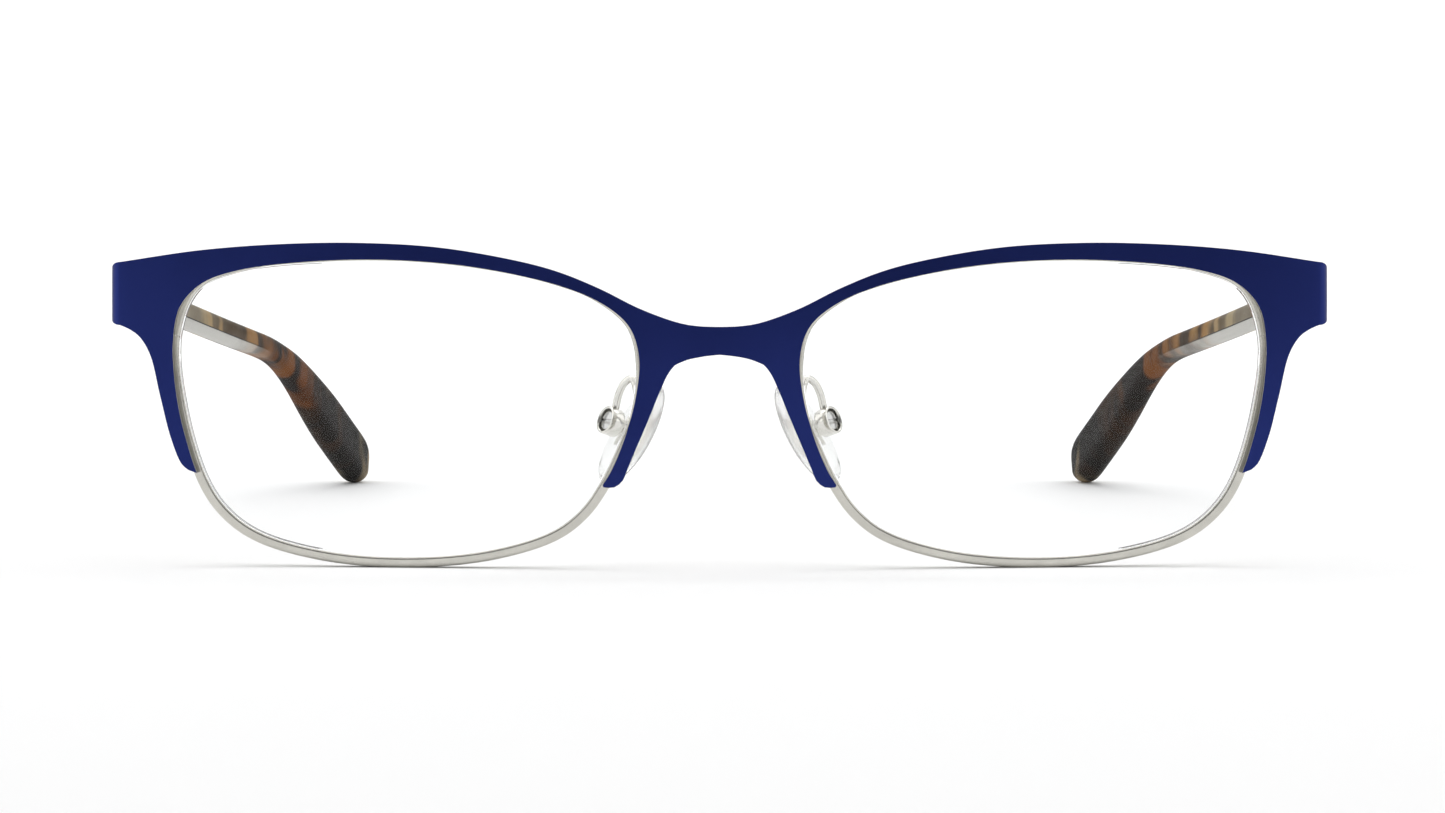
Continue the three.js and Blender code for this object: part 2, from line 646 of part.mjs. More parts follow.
function templeSection(s) {
  const widen = smoothstep(s, 72, 112);
  const height = lerp(TEMPLE_HEIGHT, TIP_HEIGHT, widen);
  const thickness = lerp(TEMPLE_THICKNESS, TIP_THICKNESS, smoothstep(s, 60, TEMPLE_LENGTH));
  const past = Math.max(s - (TEMPLE_LENGTH - TIP_ROUND), 0) / TIP_ROUND;
  const round = (1 - (past * 0.998) ** TIP_FULLNESS) ** (1 / TIP_FULLNESS);
  const chamfer = lerp(TEMPLE_CHAMFER, TIP_CHAMFER, widen);
  return chamferedBox(thickness * Math.sqrt(round), height * round, chamfer * round);
}

const CHANNEL_END = 116;
const CORE_SIZE = 1.0;

function temple() {
  const tipStart = TEMPLE_LENGTH - TIP_ROUND;
  const distances = [
    ...evenly(ACETATE_START, BEND_START, 9),
    ...evenly(BEND_START, tipStart, 20).slice(1),
    ...TIP_STATIONS.map((part) => tipStart + TIP_ROUND * part),
  ];
  const body = loft(templeRings(distances, templeSection), templeSection(ACETATE_START));
  const hole = chamferedBox(CORE_SIZE + 0.2, CORE_SIZE + 0.2, 0.1);
  const rings = templeRings(evenly(ACETATE_START, CHANNEL_END, 26), () => hole);
  const mouth = rings[0].map((point) => point.clone().add(new THREE.Vector3(0, -1, 0)));
  return cut(body, loft([mouth, ...rings], hole));
}

function coreWire() {
  const core = chamferedBox(CORE_SIZE, CORE_SIZE, 0.2);
  return loft(templeRings(evenly(ACETATE_START + 0.5, CHANNEL_END - 1, 26), () => core), core);
}

// ---------------------------------------------------------------- assembly

function piece(name, geometry, material) {
  const mesh = new THREE.Mesh(geometry, material);
  mesh.name = name;
  return mesh;
}

function oneSide(side) {
  const group = new THREE.Group();
  const named = (name, geometry, material) => piece(`${name}_${side}`, geometry, material);
  group.add(
    named('eyewire', eyewire(), silver),
    named('lens', lens(), clearLens),
    named('rim_lock_upper', rimLock(1), silver),
    named('rim_lock_lower', rimLock(-1), silver),
    named('rim_lock_screw', rimLockScrew(), screwSteel),
    named('pad_arm', padArm(), silver),
  );
  const pad = inPadFrame(new THREE.Group());
  pad.add(
    named('pad_box', padBox(), silver),
    named('pad_mount', padMount(), silver),
    named('pad_screw', padScrew(), screwSteel),
    named('nose_pad', nosePad(), silicone),
  );
  const hinged = inHingeFrame(new THREE.Group());
  hinged.add(
    named('hinge_front', frontHinge(), silver),
    named('hinge_temple', templeHinge(), silver),
    named('hinge_screw', hingeScrew(), screwSteel),
    named('temple', temple(), acetate),
    named('temple_core_wire', coreWire(), silver),
  );
  group.add(pad, hinged);
  return group;
}

const glasses = new THREE.Group();
const left = oneSide('left');
const right = oneSide('right');
right.scale.x = -1;
glasses.add(piece('front_plate', frontPlate(), bluePaint), left, right);

// Stand the rims and temple tips on z = 0, with the middle of the depth over the origin.
glasses.position.z = STANDING_HEIGHT;
glasses.updateMatrixWorld(true);
const depth = new THREE.Box3().setFromObject(glasses, true);
glasses.position.y = -(depth.min.y + depth.max.y) / 2;

export default glasses;
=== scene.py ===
"""Eyeglasses with a painted half front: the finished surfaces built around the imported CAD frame.

Shapes are worked out in millimetres from the lens level, as the part itself is: x from the middle, y back
from the lens centres, z up from the lens centres. One side is built and the other is its mirror image.
"""

import json
import math

import bpy
import numpy as np
from mathutils import Euler, Matrix, Vector


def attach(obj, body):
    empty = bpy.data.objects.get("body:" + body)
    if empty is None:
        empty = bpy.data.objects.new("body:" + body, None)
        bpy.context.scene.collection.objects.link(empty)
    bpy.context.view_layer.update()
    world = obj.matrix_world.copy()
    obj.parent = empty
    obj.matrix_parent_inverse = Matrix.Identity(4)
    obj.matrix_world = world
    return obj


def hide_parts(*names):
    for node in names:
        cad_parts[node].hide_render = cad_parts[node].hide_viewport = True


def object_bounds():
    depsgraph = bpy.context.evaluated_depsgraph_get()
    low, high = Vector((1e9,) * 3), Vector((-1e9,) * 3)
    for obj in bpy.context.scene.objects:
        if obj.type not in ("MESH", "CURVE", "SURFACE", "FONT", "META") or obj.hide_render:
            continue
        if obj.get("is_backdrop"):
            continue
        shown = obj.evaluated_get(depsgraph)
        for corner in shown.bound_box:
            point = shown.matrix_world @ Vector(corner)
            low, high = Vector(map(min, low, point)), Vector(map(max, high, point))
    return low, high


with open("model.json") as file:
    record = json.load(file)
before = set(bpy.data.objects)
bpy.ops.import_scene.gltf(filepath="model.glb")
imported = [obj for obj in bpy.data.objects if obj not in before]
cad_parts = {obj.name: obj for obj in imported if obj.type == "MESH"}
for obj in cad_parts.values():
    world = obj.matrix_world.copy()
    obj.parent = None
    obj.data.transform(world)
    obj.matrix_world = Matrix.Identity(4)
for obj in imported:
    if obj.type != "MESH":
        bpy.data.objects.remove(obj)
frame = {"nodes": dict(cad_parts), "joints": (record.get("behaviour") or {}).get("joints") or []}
cad_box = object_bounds()

MM = 0.001
SIDES = {"left": 1, "right": -1}

# Driving dimensions, in millimetres and degrees.
LENS_CENTRE_X = 34.6
FACE_RADIUS = 130
FACE_FORM = math.radians(5)
FRONT_LEAN = math.radians(3)
BRIDGE_HALF = 11
BRIDGE_ARCH = 1.42
GAP = 0.04
SHEET = 0.8
WIRE_WIDTH = 1.15
WIRE_DEPTH = 1.9
GROOVE_DEPTH = 0.42
RIM_CUT = 0.08
LENS_THICKNESS = 1.5
LENS_BEVEL = 0.33
HINGE = Vector((64.3, 14.1, 12.4))
TEMPLE_TOE_IN = math.radians(4.2)
TEMPLE_SLOPE = math.radians(7)
TEMPLE_LENGTH = 131
HINGE_HEIGHT = 4.2
TEMPLE_MIDDLE = 2.0
ACETATE_START = 6.7
TEMPLE_THICKNESS = 3
TEMPLE_HEIGHT = 2.9
TIP_HEIGHT = 7.2
TIP_THICKNESS = 3.9
TIP_ROUND = 6.5
TIP_FULLNESS = 2.6
UNDERCUT = 0.9  # the chamfer along the temple's lower inner corner
EDGE_LINE_DEPTH = 0.08  # of the step along the top of that chamfer
PAINTED_EDGE_RINGS = 104  # rings from the hinge over which the lower inner edge has its painted reflection
PATTERN_FROM = -48  # the frame's depths between which the acetate's pattern runs
PATTERN_TO = 70
BEND_START = 64
BEND_END = 98
BEND_ANGLE = math.radians(14.41)
TEMPLE_CURVE = math.radians(4.2)
PAD_JOINT = Vector((12.2, 6.6, -1.6))
PAD_SPLAY = math.radians(34)
PAD_FRONTAL = math.radians(19)
PAD_TILT = math.radians(14)
PAD_LENGTH = 13
PAD_WIDTH = 7.6
PAD_THICKNESS = 2.2
PAD_AWAY = 2.2
PAD_DROP = 0.2
ARM_RADIUS = 0.43

TINY = 1e-4  # keeps points that would fall together a little apart

# The lens level's own origin in the frame comes from where the CAD put the hinge.
hinge_joint = next(j for j in frame["joints"] if j["name"] == "temple_left_fold")
LENS_LEVEL = Vector(hinge_joint["pos_m"]) - HINGE * MM


def smoothstep(value, low, high):
    t = min(max((value - low) / (high - low), 0), 1)
    return t * t * (3 - 2 * t)


def mix(a, b, t):
    return a + (b - a) * t


# ---------------------------------------------------------------- curves

class Curve:
    """A smooth curve through points: a centripetal Catmull-Rom spline."""

    def __init__(self, points, closed=False, samples=1500):
        self.points = [np.array(p, float) for p in points]
        self.closed = closed
        places = np.linspace(0, 1, samples + 1)
        row = np.array([self.at(t) for t in places])
        steps = np.linalg.norm(np.diff(row, axis=0), axis=1)
        self.lengths = np.concatenate([[0], np.cumsum(steps)])
        self.places = places
        self.length = self.lengths[-1]

    def _spans(self):
        return len(self.points) if self.closed else len(self.points) - 1

    def at(self, t):
        count = len(self.points)
        place = min(max(t, 0), 1) * self._spans()
        i = min(int(place), self._spans() - 1)
        w = place - i
        pick = lambda k: self.points[k % count]
        p1, p2 = pick(i), pick(i + 1)
        p0 = pick(i - 1) if self.closed or i > 0 else 2 * p1 - p2
        p3 = pick(i + 2) if self.closed or i + 2 < count else 2 * p2 - p1
        d0, d1, d2 = (np.linalg.norm(b - a) ** 0.5 for a, b in ((p0, p1), (p1, p2), (p2, p3)))
        start = ((p1 - p0) / d0 - (p2 - p0) / (d0 + d1) + (p2 - p1) / d1) * d1
        end = ((p2 - p1) / d1 - (p3 - p1) / (d1 + d2) + (p3 - p2) / d2) * d1
        c2 = 3 * (p2 - p1) - 2 * start - end
        c3 = 2 * (p1 - p2) + start + end
        return p1 + w * (start + w * (c2 + w * c3))

    def along(self, share):
        """The point at a share of the curve's length."""
        return self.at(np.interp(share * self.length, self.lengths, self.places))

    def heading(self, share):
        step = 1e-4
        low, high = share - step, share + step
        if self.closed:
            ahead = self.along(high % 1) - self.along(low % 1)
        else:
            ahead = self.along(min(high, 1)) - self.along(max(low, 0))
        return ahead / np.linalg.norm(ahead)


# ---------------------------------------------------------------- meshes

def rounded_box(width, height, radius, steps):
    """Outline of a rectangle with round corners, anticlockwise."""
    points = []
    for corner, (sx, sy) in enumerate(((1, -1), (1, 1), (-1, 1), (-1, -1))):
        for k in range(steps + 1):
            angle = math.pi / 2 * (corner - 1 + k / steps)
            points.append((
                sx * (width / 2 - radius) + radius * math.cos(angle),
                sy * (height / 2 - radius) + radius * math.sin(angle),
            ))
    return np.array(points)


def rings_mesh(rings, closed_ends=True):
    """Vertices and faces of a body through a row of rings that repeat one outline."""
    sides = len(rings[0])
    verts = [tuple(p) for ring in rings for p in ring]
    faces = []
    for i in range(len(rings) - 1):
        for j in range(sides):
            k = (j + 1) % sides
            a, b = i * sides, (i + 1) * sides
            faces.append((a + j, a + k, b + k, b + j))
    if closed_ends:
        faces.append(tuple(reversed(range(sides))))
        last = (len(rings) - 1) * sides
        faces.append(tuple(range(last, last + sides)))
    return verts, faces


def turned_mesh(profile, segments=48):
    """A body of revolution round X through (radius, x) points that start and end on the axis."""
    verts, rows = [], []
    for radius, x in profile:
        if radius < 1e-6:
            rows.append([len(verts)])
            verts.append((x, 0, 0))
            continue
        rows.append(list(range(len(verts), len(verts) + segments)))
        for k in range(segments):
            angle = 2 * math.pi * k / segments
            verts.append((x, radius * math.cos(angle), radius * math.sin(angle)))
    faces = []
    for low, high in zip(rows, rows[1:]):
        for k in range(segments):
            n = (k + 1) % segments
            quad = [low[k % len(low)], low[n % len(low)], high[n % len(high)], high[k % len(high)]]
            faces.append(tuple(dict.fromkeys(quad)))
    return verts, faces


HEAD_CHAMFER = 0.07  # as a share of the head's radius, across and down
SLOT_CLEAR = 1.2  # no row of points closer to the slot's walls than this times its half width
SLOT_DEPTH = 0.45  # as a share of the head's height


def slotted_head(radius, height, dome, slot, steps=18):
    """A screw head along Z from 0 to its height: domed, with a chamfered rim and a slot across it."""
    half = slot / 2
    across = [-radius * math.cos(math.pi * k / steps) for k in range(steps + 1)]
    columns = [(y, False) for y in across if y < -half * SLOT_CLEAR]
    columns += [(-half, False), (-half, True), (0.0, True), (half, True), (half, False)]
    columns += [(y, False) for y in across if y > half * SLOT_CLEAR]
    levels = {"low": radius, "wall": radius, "top": radius * (1 - HEAD_CHAMFER)}
    verts, faces = [], []
    for level, reach in levels.items():
        for y, sunk in columns:
            y = y * reach / radius
            run = math.sqrt(max(reach ** 2 - y ** 2, 0)) + TINY
            for k in range(steps + 1):
                x = -run * math.cos(math.pi * k / steps)
                domed = height - dome * (x ** 2 + y ** 2) / radius ** 2
                wall = height - dome - radius * HEAD_CHAMFER
                z = {"low": 0, "wall": wall, "top": domed}[level]
                if sunk and level != "low":
                    z = min(z, height - dome * 0.5 - height * SLOT_DEPTH)
                verts.append((x, y, z))
    rows, size = len(columns), steps + 1
    layer = rows * size
    for i in range(rows - 1):
        for k in range(steps):
            a = i * size + k
            faces.append((a, a + 1, a + size + 1, a + size))
            faces.append(tuple(2 * layer + v for v in (a, a + size, a + size + 1, a + 1)))
    loop = list(range(size)) + [i * size + steps for i in range(1, rows)]
    loop += [(rows - 1) * size + k for k in reversed(range(steps))]
    loop += [i * size for i in reversed(range(1, rows - 1))]
    for here, after in zip(loop, loop[1:] + loop[:1]):
        for low in (0, layer):
            faces.append((low + after, low + here, low + layer + here, low + layer + after))
    return verts, faces


def moved(shape, place):
    verts, faces = shape
    return [place(v) for v in verts], faces


def add_piece(name, shape, body, materials, replaced, side=1, smooth=40, pick=None):
    """Makes an object from a shape in lens-level millimetres, on a body, in place of CAD nodes."""
    verts, faces = shape
    points = [LENS_LEVEL + Vector((v[0] * MM, v[1] * MM, v[2] * MM)) for v in verts]
    if side < 0:
        points = [Vector((-p.x, p.y, p.z)) for p in points]
        faces = [tuple(reversed(f)) for f in faces]
    mesh = bpy.data.meshes.new(name)
    mesh.from_pydata(points, [], faces)
    mesh.validate()
    if signed_volume(mesh) < 0:
        mesh.flip_normals()
    for material in materials:
        mesh.materials.append(material)
    if pick:
        for polygon in mesh.polygons:
            polygon.material_index = pick(polygon.index)
    mesh.shade_smooth()
    mesh.set_sharp_from_angle(angle=math.radians(smooth))
    piece = bpy.data.objects.new(name, mesh)
    bpy.context.scene.collection.objects.link(piece)
    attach(piece, body)
    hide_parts(*replaced)
    return piece


def signed_volume(mesh):
    mesh.calc_loop_triangles()
    total = 0
    for tri in mesh.loop_triangles:
        a, b, c = (mesh.vertices[i].co for i in tri.vertices)
        total += a.dot(b.cross(c))
    return total


def bevel(piece, width, segments=2, angle=35):
    modifier = piece.modifiers.new("edge", "BEVEL")
    modifier.width = width * MM
    modifier.segments = segments
    modifier.limit_method = "ANGLE"
    modifier.angle_limit = math.radians(angle)
    modifier.harden_normals = True
    return modifier


# ---------------------------------------------------------------- the curved front

def lens_depth(x, z):
    across = x - LENS_CENTRE_X
    wrap = across ** 2 / (2 * FACE_RADIUS) + across * math.tan(FACE_FORM)
    return wrap + z ** 2 / (2 * FACE_RADIUS) - z * math.tan(FRONT_LEAN)


def plate_depth(x, z):
    if x >= BRIDGE_HALF:
        return lens_depth(x, z)
    edge_slope = (BRIDGE_HALF - LENS_CENTRE_X) / FACE_RADIUS + math.tan(FACE_FORM)
    blend = edge_slope / (2 * BRIDGE_HALF) * (x ** 2 - BRIDGE_HALF ** 2)
    arch = BRIDGE_ARCH * (0.5 + 0.5 * math.cos(math.pi * x / BRIDGE_HALF))
    return lens_depth(BRIDGE_HALF, z) + blend - arch


PLATE_INNER = [
    (12.95, -8.35), (12.1, -7.0), (11.0, -4.56), (9.9, -1.24), (9.15, 2.0), (8.85, 5.3),
    (9.4, 8.1), (10.5, 9.88), (13.2, 11.92), (17.65, 13.77), (26.5, 15.73), (35.3, 16.56),
    (44.3, 16.47), (53.3, 15.44), (57.7, 13.9), (60.2, 11.3), (61.0, 7.6),
    (60.9, 3.4), (60.24, -1.04), (59.1, -5.4), (58.45, -7.3),
]
END_X, END_TOP, END_BOTTOM = 67.2, 16.27, 9.2
# Stretches of the outer edge: first and last inner point beside it, spans, kind, and its own points.
PLATE_OUTER = [
    (0, 5, 36, "edge", [
        (12.85, -8.6), (11.7, -8.62), (10.75, -7.9), (10.2, -6.6), (9.4, -4.68), (7.7, -0.67),
        (6.6, 2.04), (5.5, 4.3), (4.2, 5.55), (2.2, 6.08), (0, 6.17),
    ]),
    (5, 6, 8, "middle", [(0, 6.17), (0, 9.23)]),
    (6, 14, 80, "edge", [
        (0, 9.23), (2.2, 9.3), (4.4, 9.64), (8.8, 11.2), (13.2, 13.4), (17.65, 15.23),
        (22.05, 16.44), (30.9, 17.96), (39.8, 18.47), (48.8, 18.32), (57.9, 17.62),
        (END_X, END_TOP),
    ]),
    (14, 16, 12, "end", [(END_X, END_TOP), (END_X, END_BOTTOM)]),
    (16, 20, 36, "edge", [
        (END_X, END_BOTTOM), (66.1, 8.75), (64.9, 7.9), (63.7, 5.95), (62.56, 1.3),
        (61.4, -3.35), (60.2, -6.3), (59.45, -6.95),
    ]),
]
PLATE_ACROSS = 8
TURN_RADIUS = 1.6
TURN_SPANS = 14
END_LENGTH = 5.25
END_SPANS = 6
END_CORNER = 0.75
END_NARROW = 0.79


def plate_ribs():
    """Pairs of inner and outer points, which of the spans stay open, and the end piece's heights."""
    inner = Curve(PLATE_INNER)
    ribs, open_spans, end_line = [], set(), []
    for first, last, spans, kind, edge in PLATE_OUTER:
        outer = Curve(edge)
        for i in range(1 if ribs else 0, spans + 1):
            near = inner.at(mix(first, last, i / spans) / (len(PLATE_INNER) - 1))
            far = outer.along(i / spans) if kind == "edge" else outer.at(i / spans)
            if kind != "edge" and i > 0:
                open_spans.add(len(ribs) - 1)
            if kind == "end" and i == 1:
                end_line.append(ribs[-1][1])
            if kind == "end":
                end_line.append(far)
            ribs.append((near, far))
    return ribs, open_spans, end_line


def end_piece_grid(heights, behind):
    slope = math.atan((END_X - LENS_CENTRE_X) / FACE_RADIUS + math.tan(FACE_FORM))
    turn = math.pi / 2 + TEMPLE_TOE_IN - slope
    radius = TURN_RADIUS - behind
    half_height = (END_TOP - END_BOTTOM) / 2
    start_out = math.sin(slope)
    grid = []
    for i in range(TURN_SPANS + END_SPANS + 1):
        heading = slope + min(i / TURN_SPANS, 1) * turn
        straight = max(i - TURN_SPANS, 0) / END_SPANS * END_LENGTH
        outward = (math.sin(min(heading, math.pi / 2)) - start_out) / (1 - start_out)
        corner = END_CORNER * (1 - math.sqrt(1 - outward ** 2))
        taper = mix(1, END_NARROW, smoothstep(i, TURN_SPANS, TURN_SPANS + END_SPANS))
        narrow = (1 - corner / half_height) * taper
        row = []
        for _, height in heights:
            start = plate_depth(END_X, height)
            if i == 0:
                row.append((END_X, start + behind, height))
                continue
            z = HINGE.z + (height - HINGE.z) * narrow
            lean = straight / END_LENGTH * (z - HINGE.z) * math.tan(TEMPLE_SLOPE)
            x = END_X - TURN_RADIUS * math.sin(slope) + radius * math.sin(heading)
            y = start + TURN_RADIUS * math.cos(slope) - radius * math.cos(heading)
            run = straight + lean
            row.append((x + run * math.cos(heading), y + run * math.sin(heading), z))
        grid.append(row)
    return grid


def sheet_faces(front, back, near="edge", keep_start=True, open_far=()):
    """Faces of a sheet between two grids of vertex numbers. Each is (face, kind)."""
    faces = []
    rows, columns = len(front), len(front[0])
    for i in range(rows - 1):
        for s in range(columns - 1):
            corners = ((i, s), (i + 1, s), (i + 1, s + 1), (i, s + 1))
            faces.append((tuple(front[a][b] for a, b in corners), "front"))
            faces.append((tuple(back[a][b] for a, b in reversed(corners)), "back"))
        faces.append(((front[i][0], back[i][0], back[i + 1][0], front[i + 1][0]), near))
        if i not in open_far:
            faces.append(((front[i][-1], front[i + 1][-1], back[i + 1][-1], back[i][-1]), "edge"))
    for s in range(columns - 1):
        if keep_start:
            faces.append(((front[0][s], front[0][s + 1], back[0][s + 1], back[0][s]), "edge"))
        a, b = front[-1], back[-1]
        faces.append(((a[s], b[s], b[s + 1], a[s + 1]), "edge"))
    return faces


def front_plate_shape():
    """The whole stamped front, and the kind of each face."""
    ribs, open_spans, end_line = plate_ribs()
    numbers, verts = {}, []

    def number(point):
        key = tuple(round(c, 5) + 0.0 for c in point)
        if key not in numbers:
            numbers[key] = len(verts)
            verts.append(tuple(point))
        return numbers[key]

    def numbered(grid, side):
        return [[number((side * x, y, z)) for x, y, z in row] for row in grid]

    def face_grid(behind):
        grid = []
        for near, far in ribs:
            row = [mix(near, far, s / PLATE_ACROSS) for s in range(PLATE_ACROSS + 1)]
            grid.append([(x, plate_depth(x, z) + behind, z) for x, z in row])
        return grid

    heights = list(reversed(end_line))
    faces = []
    for side in SIDES.values():
        sheets = [
            sheet_faces(numbered(face_grid(0), side), numbered(face_grid(SHEET), side),
                        near="bare", open_far=open_spans),
            sheet_faces(numbered(end_piece_grid(heights, 0), side),
                        numbered(end_piece_grid(heights, SHEET), side), keep_start=False),
        ]
        for face, kind in (pair for part in sheets for pair in part):
            faces.append((face if side > 0 else tuple(reversed(face)), kind))
    return verts, [face for face, _ in faces], [kind for _, kind in faces]


# ---------------------------------------------------------------- eyewire and lens

RIM_EDGE = [
    (60.33, 8.0), (58.16, 13.16), (53.32, 15.3), (44.23, 16.35), (34.66, 16.43), (25.69, 15.49),
    (18.2, 13.81), (13.78, 12.05), (10.17, 8.91), (9.25, 4.48), (9.72, 0), (11.29, -4.12),
    (13.08, -7.84), (15.36, -11.12), (18.47, -13.53), (25.52, -15.73), (34.66, -16.58),
    (43.94, -15.98), (51.38, -14.0), (54.83, -11.68), (57.25, -8.32), (59.68, -0.25),
]
rim_curve = Curve(RIM_EDGE, closed=True)
RIM_SPANS = 240
LENS_SPANS = 200
EYEWIRE_FRONT = SHEET + GAP
GROOVE_MIDDLE = EYEWIRE_FRONT + WIRE_DEPTH / 2


def rim_places(shares):
    """Points of the rim's inner edge with their outward directions."""
    return [(rim_curve.along(s), rim_curve.heading(s)) for s in shares]


def beside(place, out):
    point, heading = place
    return point + out * np.array((heading[1], -heading[0]))


WIRE_ROUND = 0.3
GROOVE_HALF = [(0, 0.45), (0.04, 0.42), (GROOVE_DEPTH, 0.1)]  # in from the rim's face, off its middle


def eyewire_section():
    """Across the rim and depth: rounded outside, a V groove for the lens inside."""
    outline = rounded_box(WIRE_WIDTH, WIRE_DEPTH, WIRE_ROUND, 4)
    outline += np.array((WIRE_WIDTH / 2, WIRE_DEPTH / 2))
    corner_end = len(outline) * 3 // 4
    groove = [(x, WIRE_DEPTH / 2 + off) for x, off in GROOVE_HALF]
    groove += [(x, WIRE_DEPTH / 2 - off) for x, off in reversed(GROOVE_HALF)]
    return np.concatenate([outline[:corner_end], groove, outline[corner_end:]])


def eyewire_shape():
    half = RIM_CUT / 2 / rim_curve.length
    rings = []
    section = eyewire_section()
    for place in rim_places(np.linspace(half, 1 - half, RIM_SPANS + 1)):
        ring = []
        for out, behind in section:
            x, z = beside(place, out)
            ring.append((x, lens_depth(x, z) + EYEWIRE_FRONT + behind, z))
        rings.append(ring)
    return rings_mesh(rings)


LENS_INSET = 0.1  # of the lens's flat edge inside the rim
LENS_FACE_RINGS = [0.04, 0.15, 0.3, 0.45, 0.6, 0.75, 0.88, 0.96]


def lens_shape():
    places = rim_places(np.arange(LENS_SPANS) / LENS_SPANS)
    half = LENS_THICKNESS / 2

    def ring(scale, out, behind):
        points = []
        for place in places:
            x, z = beside(place, out)
            x, z = mix(LENS_CENTRE_X, x, scale), z * scale
            points.append((x, lens_depth(x, z) + GROOVE_MIDDLE + behind, z))
        return points

    chamfer = 0.06
    edge = [
        (-LENS_INSET - chamfer, -half), (-LENS_INSET, -half + chamfer),
        (-LENS_INSET, -0.36), (LENS_BEVEL, -0.05),
    ]
    rings = [ring(scale, -LENS_INSET, -half) for scale in LENS_FACE_RINGS]
    rings += [ring(1, out, behind) for out, behind in edge]
    rings += [ring(1, out, -behind) for out, behind in reversed(edge)]
    rings += [ring(scale, -LENS_INSET, half) for scale in reversed(LENS_FACE_RINGS)]
    return rings_mesh(rings)


# ---------------------------------------------------------------- temple

def hinge_frame(point):
    """From the hinge's own frame to the lens level."""
    turn = Matrix.Rotation(TEMPLE_TOE_IN, 4, "Z") @ Matrix.Rotation(-TEMPLE_SLOPE, 4, "X")
    return HINGE + turn @ Vector(point)


TEMPLE_STEP = 0.5
WIDEN_START, WIDEN_END = 72, 112  # along the temple
THICKEN_START = 60
CHAMFER_FADE = (50, 80)
FRONT_ROUND = 0.25  # length of the softened edge at the hinge end


def temple_line():
    """Middle line of the temple in the hinge's frame: distance, point, across and up."""
    point = np.array((TEMPLE_MIDDLE, ACETATE_START, 0.0))
    line = []
    s = ACETATE_START
    while s < TEMPLE_LENGTH + 2 * TEMPLE_STEP:
        yaw = TEMPLE_CURVE * s / TEMPLE_LENGTH
        pitch = -BEND_ANGLE * smoothstep(s, BEND_START, BEND_END)
        heading = np.array((
            -math.sin(yaw) * math.cos(pitch), math.cos(yaw) * math.cos(pitch), math.sin(pitch),
        ))
        across = np.array((math.cos(yaw), math.sin(yaw), 0))
        line.append((s, point.copy(), across, np.cross(across, heading)))
        point = point + heading * TEMPLE_STEP
        s += TEMPLE_STEP
    return line


def temple_section(s):
    """The temple's outline at a distance, and which of its points are on the lower inner corner."""
    height = mix(TEMPLE_HEIGHT, TIP_HEIGHT, smoothstep(s, WIDEN_START, WIDEN_END))
    thickness = mix(TEMPLE_THICKNESS, TIP_THICKNESS, smoothstep(s, THICKEN_START, TEMPLE_LENGTH))
    past = max(s - (TEMPLE_LENGTH - TIP_ROUND), 0) / TIP_ROUND
    round_off = (1 - (past * 0.998) ** TIP_FULLNESS) ** (1 / TIP_FULLNESS)
    front = smoothstep(s, ACETATE_START - 0.01, ACETATE_START + FRONT_ROUND)
    trim = mix(0.94, 1, front)
    width, tall = thickness * math.sqrt(round_off) * trim, height * round_off * trim
    softer = mix(0.65, 0.98, smoothstep(s, BEND_START, BEND_END))
    outline = rounded_box(width, tall, 0.5 * softer * min(width, tall), 7)
    # The lower inner corner is a flat chamfer in place of a round.
    keep = smoothstep(s, *CHAMFER_FADE)
    low_inner = (outline[:, 0] < 0) & (outline[:, 1] < 0)
    corner = outline[low_inner]
    share = (np.arange(len(corner)) / (len(corner) - 1))[:, None]
    first = np.array((-width / 2, -tall / 2 + UNDERCUT))
    last = np.array((-width / 2 + UNDERCUT, -tall / 2))
    edge = first + share * (last - first)
    edge[1] += np.array((EDGE_LINE_DEPTH, EDGE_LINE_DEPTH))
    outline[low_inner] = mix(edge, corner, keep)
    return outline, np.flatnonzero(low_inner)


def temple_shape():
    line = temple_line()
    tip_start = TEMPLE_LENGTH - TIP_ROUND
    distances = np.concatenate([
        ACETATE_START + np.array((0, 0.08, FRONT_ROUND)), np.linspace(8, tip_start, 150),
        TEMPLE_LENGTH - TIP_ROUND * (1 - np.sin(np.linspace(0.05, 1, 24) * math.pi / 2)),
    ])
    rings = []
    for s in distances:
        place = min((s - ACETATE_START) / TEMPLE_STEP, len(line) - 1.001)
        i = int(place)
        middle = mix(line[i][1], line[i + 1][1], place - i)
        _, _, across, up = line[i]
        rings.append([
            hinge_frame(middle + across * x + up * y) for x, y in temple_section(s)[0]
        ])
    return rings_mesh(rings)


def temple_edge_kind(face):
    """Which of the acetate's materials a face has: plain, the painted reflection on its lower edge, or
    the painted crease shadow along the top of that edge.
    """
    outline, low_inner = temple_section(ACETATE_START)
    ring, column = divmod(face, len(outline))
    if ring >= PAINTED_EDGE_RINGS or column not in low_inner:
        return 0
    return 2 if column == low_inner[0] else 1


# ---------------------------------------------------------------- nose pad

def pad_frame(point):
    """From the pad's own frame to the lens level."""
    turn = Matrix.Rotation(-PAD_SPLAY, 4, "Z") @ Matrix.Rotation(-PAD_FRONTAL, 4, "Y")
    return PAD_JOINT + turn @ Vector(point)


PAD_FULLNESS = 0.62  # 1 is a sphere's outline, and less is boxier
PAD_NARROWING = 0.12  # towards the upper end


